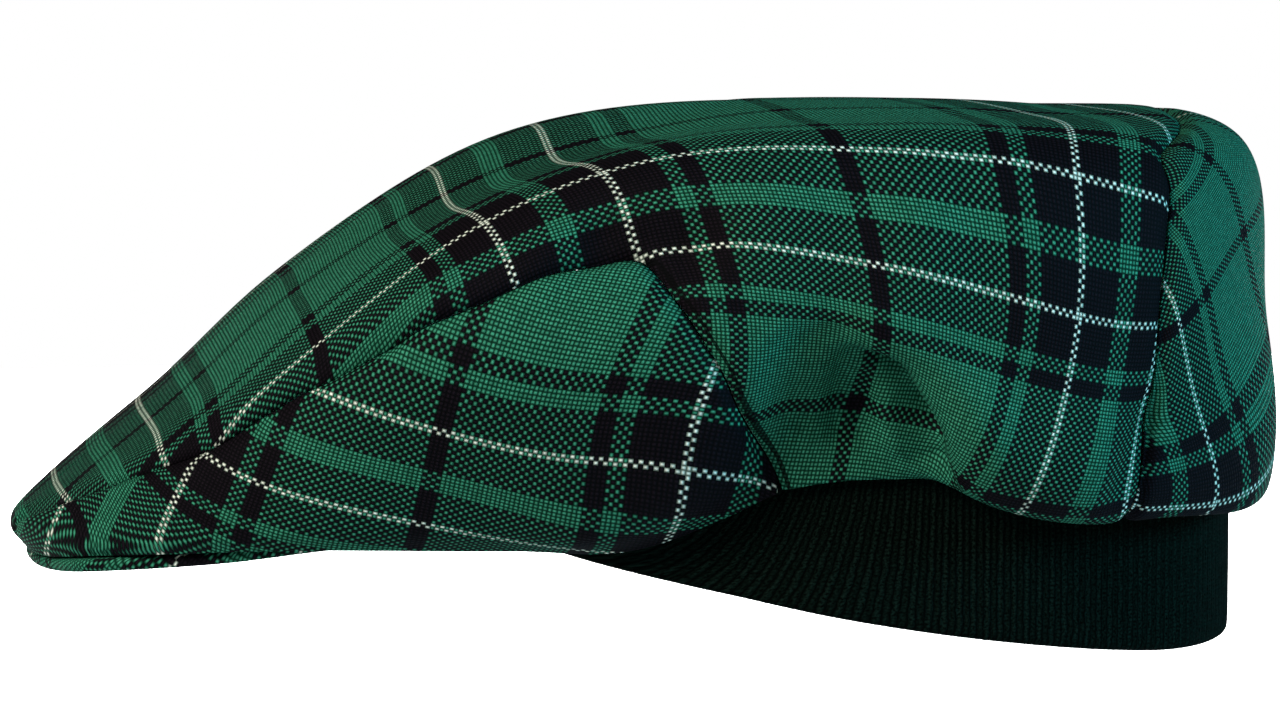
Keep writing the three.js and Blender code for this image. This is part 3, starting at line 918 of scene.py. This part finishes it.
class FLATCAP_OT_side_panels(bpy.types.Operator):
    """Make the two side panels between the crown's front seam and the lower edge"""

    bl_idname = "flat_cap.side_panels"
    bl_label = "Side panels"

    def execute(self, context):
        gap = context.scene.flat_cap_sizes.seam_gap
        front = cut(seam_places(FRONT_SEAM, gap / 2), SEAM_END, -SEAM_END)
        grain = (0, math.cos(SIDE_SLOPE), -math.sin(SIDE_SLOPE))
        for side, name in ((1, "left"), (-1, "right")):
            obj = cloth_mesh(f"side_panel_{name}_cloth", hung_sheet(front, SIDE_ROWS, side),
                             [seam_points(front, side)], grain, 0, SIDE_STRIPES, SIDE_PULL, side)
            finish_piece(obj, made_material("tartan worsted", tartan),
                         f"side_panel_{name}")
        return {"FINISHED"}


class FLATCAP_OT_back_panel(bpy.types.Operator):
    """Make the back panel, cut on the bias, from one side round to the other"""

    bl_idname = "flat_cap.back_panel"
    bl_label = "Back panel"

    def execute(self, context):
        gap = context.scene.flat_cap_sizes.seam_gap
        back = cut(seam_places(BACK_SEAM, gap / 2), SEAM_END)
        back[0][-1] = 180
        upper = (np.concatenate([back[0], 360 - back[0][-2::-1]]),
                 np.concatenate([back[1], back[1][-2::-1]]))
        obj = cloth_mesh("back_panel_cloth", hung_sheet(upper, BACK_ROWS), [seam_points(upper)],
                         (1, 0, 0), BIAS, BACK_STRIPES, BACK_PULL)
        finish_piece(obj, made_material("tartan worsted", tartan), "back_panel")
        return {"FINISHED"}


class FLATCAP_OT_peak(bpy.types.Operator):
    """Make the peak, a stiff crescent covered in cloth with a rounded lip"""

    bl_idname = "flat_cap.peak"
    bl_label = "Peak"

    def execute(self, context):
        thickness = context.scene.flat_cap_sizes.lip_thickness / MM
        radius = thickness / 2
        angle = np.linspace(-PEAK["angle"][-1], PEAK["angle"][-1], PEAK_COLUMNS)
        outer_out, inner_out, outer_up, inner_up = (
            curve_at(PEAK["angle"], PEAK[name], left_side(angle))
            for name in ("outerOut", "innerOut", "outerUp", "innerUp"))
        reach = outer_out - inner_out - radius

        def flat_row(share, drop):
            """A row of the upper face, or dropped by the thickness, of the lower one."""
            return polar(angle, outer_out - radius - reach * share,
                         outer_up + (inner_up - outer_up) * share - drop)

        inward = np.linspace(0, 1, PEAK_ROWS)[1:]
        turn = np.linspace(-math.pi / 2, math.pi / 2, LIP_ROWS)
        lower = [flat_row(share, thickness) for share in inward[::-1]]
        lip = [polar(angle, outer_out - radius + radius * math.cos(step),
                     outer_up - radius + radius * math.sin(step)) for step in turn]
        rows = np.array(lower + lip + [flat_row(share, 0) for share in inward])
        places = rows[..., :2].copy()
        edge = polar(angle, outer_out, 0)[..., :2]
        outward = edge / np.linalg.norm(edge, axis=-1, keepdims=True)
        for k, step in enumerate(turn, len(lower)):
            places[k] = edge + outward * radius * (step + math.pi / 2) * MM
        obj = swept_mesh("peak_cloth", rows, places)
        finish_piece(obj, made_material("tartan worsted", tartan), "peak")
        return {"FINISHED"}


def rib_relief_tree():
    """Geometry nodes that lift a band into ribs, where and as far as its points are marked."""
    tree = bpy.data.node_groups.new("rib relief", "GeometryNodeTree")
    sockets = (("Band", "INPUT", "Geometry"), ("Rib pitch", "INPUT", "Float"),
               ("Rib height", "INPUT", "Float"), ("Finish", "INPUT", "Material"),
               ("Ribbed band", "OUTPUT", "Geometry"))
    for name, way, kind in sockets:
        tree.interface.new_socket(name, in_out=way, socket_type=f"NodeSocket{kind}")
    given = node(tree, "NodeGroupInput").outputs
    place, stand = (node(tree, "GeometryNodeInputNamedAttribute", {"Name": mark},
                         data_type="FLOAT") for mark in ("rib_place", "rib_stand"))
    count = node(tree, MATH, [place, given["Rib pitch"]], operation="DIVIDE")
    hump = row_of_humps(tree, count)
    height = node(tree, MATH, [hump, given["Rib height"]], operation="MULTIPLY")
    lift = node(tree, MATH, [height, stand], operation="MULTIPLY")
    outward = node(tree, "GeometryNodeInputNormal")
    offset = node(tree, "ShaderNodeVectorMath", {0: outward, "Scale": lift}, operation="SCALE")
    moved = node(tree, "GeometryNodeSetPosition", {"Geometry": given["Band"], "Offset": offset})
    real = node(tree, "GeometryNodeRealizeInstances", [moved])
    finished = node(tree, "GeometryNodeSetMaterial",
                    {"Geometry": real, "Material": given["Finish"]})
    node(tree, "NodeGroupOutput", [finished])
    return tree


def apply_nodes(obj, tree, values):
    """Gives an object the plain mesh that a tree makes of it, with values for named inputs."""
    modifier = obj.modifiers.new("shape", "NODES")
    modifier.node_group = tree
    for socket in tree.interface.items_tree:
        if socket.name in values:
            modifier[socket.identifier] = values[socket.name]
    seen = obj.evaluated_get(bpy.context.evaluated_depsgraph_get())
    mesh = bpy.data.meshes.new_from_object(seen)
    mesh.name = obj.name
    mesh.polygons.foreach_set("use_smooth", np.ones(len(mesh.polygons), bool))
    obj.modifiers.clear()
    obj.data = mesh


RIB_SLANT = math.radians(70)  # slant of the ribs at the band's ends
SLANT_FROM = 110         # angle at which they begin to slant, degrees
SLANT_OVER = 50          # degrees over which they come to their full slant
SLANT_EASE = 1.5         # how gently the slant begins
RIB_RISE = 4             # height above the lower edge at which the ribs stand fully out, mm
RIB_LEAST = 0.1          # share of their height that is left at the edge


class FLATCAP_OT_ear_band(bpy.types.Operator):
    """Make the ear band of folded rib knit, from one temple round the back to the other"""

    bl_idname = "flat_cap.ear_band"
    bl_label = "Ear band"

    def execute(self, context):
        sizes = context.scene.flat_cap_sizes
        start = BAND["angle"][0]
        angle = np.linspace(start, 360 - start, BAND_COLUMNS)
        side = left_side(angle)
        out, upper, lower = (curve_at(BAND["angle"], BAND[name], side)
                             for name in ("out", "upperUp", "lowerUp"))
        half = sizes.knit_thickness / MM / 2
        ring = [(out, upper + (lower + half - upper) * share)
                for share in np.linspace(0, 1, BAND_OUTER_ROWS)[:-1]]
        ring += [(out - half + half * math.cos(step), lower + half - half * math.sin(step))
                 for step in np.linspace(0, math.pi, BAND_FOLD_ROWS)]
        ring += [(out - 2 * half, upper + (lower + half - upper) * share)
                 for share in np.linspace(1, 0, BAND_INNER_ROWS)[1:]]
        outline = np.array([polar(angle, *place) for place in ring])
        slant = RIB_SLANT * np.clip((SLANT_FROM - side) / SLANT_OVER, 0, 1) ** SLANT_EASE
        run = np.linalg.norm(np.diff(polar(angle, out, 0), axis=0), axis=1)
        around = np.concatenate([[0], np.cumsum(run * np.cos((slant[1:] + slant[:-1]) / 2))])
        height = outline[..., 2]
        lean = np.sin(slant) * ((upper + lower) / 2 * MM - height) * np.sign(180 - angle)
        place = around - around[-1] / 2 + lean
        stand = np.clip((height / MM - lower) / RIB_RISE, RIB_LEAST, 1)
        obj = swept_mesh("ear_band_knit", outline, np.stack([place, height], -1),
                         {"rib_place": place.ravel(), "rib_stand": stand.ravel()})
        material = made_material("rib knit wool", rib_knit)
        apply_nodes(obj, rib_relief_tree(), {
            "Rib pitch": context.scene.flat_cap_finish.rib_pitch,
            "Rib height": sizes.rib_height,
            "Finish": material,
        })
        finish_piece(obj, material, "ear_band")
        return {"FINISHED"}


FLOOR_HALF = 1.6         # half the width of the floor, metres
FLOOR_UP = -0.10
SKY = ((0.0, (1, 1, 1, 1)), (0.002, (0.09, 0.095, 0.10, 1)), (0.7, (0.03, 0.033, 0.036, 1)))
CAP_MIDDLE = (0, -0.03, 0.04)
LAMPS = (                # name, place, aim, size in metres, watts, spread in degrees, colour
    ("front light", (0.72, -0.88, 0.72), CAP_MIDDLE, 0.5, 2.1, 55, (0.98, 1.0, 0.97)),
    ("rear light", (0.5, 1.0, 0.42), CAP_MIDDLE, 0.4, 1.9, 55, (0.15, 0.68, 1.0)),
    ("floor light", (-0.75, 0, 0.8), (-1.75, 0, 0.15), 1.2, 90.0, 180, (1.0, 1.0, 1.0)),
)
CAMERA_TARGET = (0, -0.031, 0.0398)
CAMERA_TURN = (82, 5)    # azimuth and elevation, degrees
CAMERA_DISTANCE = 1.1
FRAME_WIDTH = 0.2944     # width that the camera takes in at the cap's side, metres
FRAME_NEARER = 0.015     # how much nearer than its target that is, metres
SENSOR = 36


class FLATCAP_OT_stage(bpy.types.Operator):
    """Make the floor, the soft lights and the camera"""

    bl_idname = "flat_cap.stage"
    bl_label = "Stage"

    def execute(self, context):
        scene = context.scene
        corners = [(x * FLOOR_HALF, y * FLOOR_HALF, FLOOR_UP)
                   for x, y in ((-1, -1), (1, -1), (1, 1), (-1, 1))]
        mesh = bpy.data.meshes.new("floor")
        mesh.from_pydata(corners, [], [(0, 1, 2, 3)])
        floor = bpy.data.objects.new("floor", mesh)
        scene.collection.objects.link(floor)
        mesh.materials.append(made_material("studio paper", studio_paint))

        scene.world = bpy.data.worlds.new("studio")
        scene.world.use_nodes = True
        tree = scene.world.node_tree
        view = node(tree, "ShaderNodeTexCoord").outputs["Generated"]
        up = node(tree, "ShaderNodeSeparateXYZ", [view]).outputs["Z"]
        ramp = node(tree, "ShaderNodeValToRGB", [up])
        elements = ramp.color_ramp.elements
        for i, (position, color) in enumerate(SKY):
            element = elements[i] if i < 2 else elements.new(position)
            element.position = position
            element.color = color
        tree.links.new(ramp.outputs["Color"], tree.nodes["Background"].inputs["Color"])

        for name, place, aim, size, power, spread, color in LAMPS:
            data = bpy.data.lights.new(name, "AREA")
            data.size = size
            data.energy = power
            data.spread = math.radians(spread)
            data.color = color
            lamp = bpy.data.objects.new(name, data)
            lamp.location = place
            lamp.rotation_euler = (Vector(aim) - lamp.location).to_track_quat("-Z", "Y").to_euler()
            lamp.visible_camera = False
            scene.collection.objects.link(lamp)

        azimuth, elevation = (math.radians(turn) for turn in CAMERA_TURN)
        back = Vector((math.sin(azimuth) * math.cos(elevation),
                       -math.cos(azimuth) * math.cos(elevation), math.sin(elevation)))
        data = bpy.data.cameras.new("camera")
        data.sensor_width = SENSOR
        data.lens = SENSOR * (CAMERA_DISTANCE - FRAME_NEARER) / FRAME_WIDTH
        data.clip_start, data.clip_end = 0.05, 20
        camera = bpy.data.objects.new("camera", data)
        camera.location = Vector(CAMERA_TARGET) + back * CAMERA_DISTANCE
        camera.rotation_euler = (-back).to_track_quat("-Z", "Y").to_euler()
        scene.collection.objects.link(camera)
        scene.camera = camera
        scene.view_settings.view_transform = "Standard"
        return {"FINISHED"}


class FLATCAP_PT_panel(bpy.types.Panel):
    """Lists the cap's pieces and its stage"""

    bl_idname = "FLATCAP_PT_panel"
    bl_label = "Flat Cap"
    bl_space_type = "VIEW_3D"
    bl_region_type = "UI"
    bl_category = "Flat Cap"

    def draw(self, context):
        for operator in OPERATORS:
            self.layout.operator(operator.bl_idname)


OPERATORS = (
    FLATCAP_OT_stage,
    FLATCAP_OT_crown,
    FLATCAP_OT_side_panels,
    FLATCAP_OT_back_panel,
    FLATCAP_OT_peak,
    FLATCAP_OT_ear_band,
)
CLASSES = (FlatCapSizes, FlatCapFinish, *OPERATORS, FLATCAP_PT_panel)


def register():
    """Adds the classes and the scene's settings."""
    for cls in CLASSES:
        bpy.utils.register_class(cls)
    bpy.types.Scene.flat_cap_sizes = PointerProperty(type=FlatCapSizes)
    bpy.types.Scene.flat_cap_finish = PointerProperty(type=FlatCapFinish)


def unregister():
    """Takes the scene's settings and the classes away."""
    del bpy.types.Scene.flat_cap_finish
    del bpy.types.Scene.flat_cap_sizes
    for cls in reversed(CLASSES):
        bpy.utils.unregister_class(cls)


def main():
    """Makes every piece in order."""
    register()
    for operator in OPERATORS:
        group, name = operator.bl_idname.split(".")
        getattr(getattr(bpy.ops, group), name)()


if __name__ == "__main__":
    main()
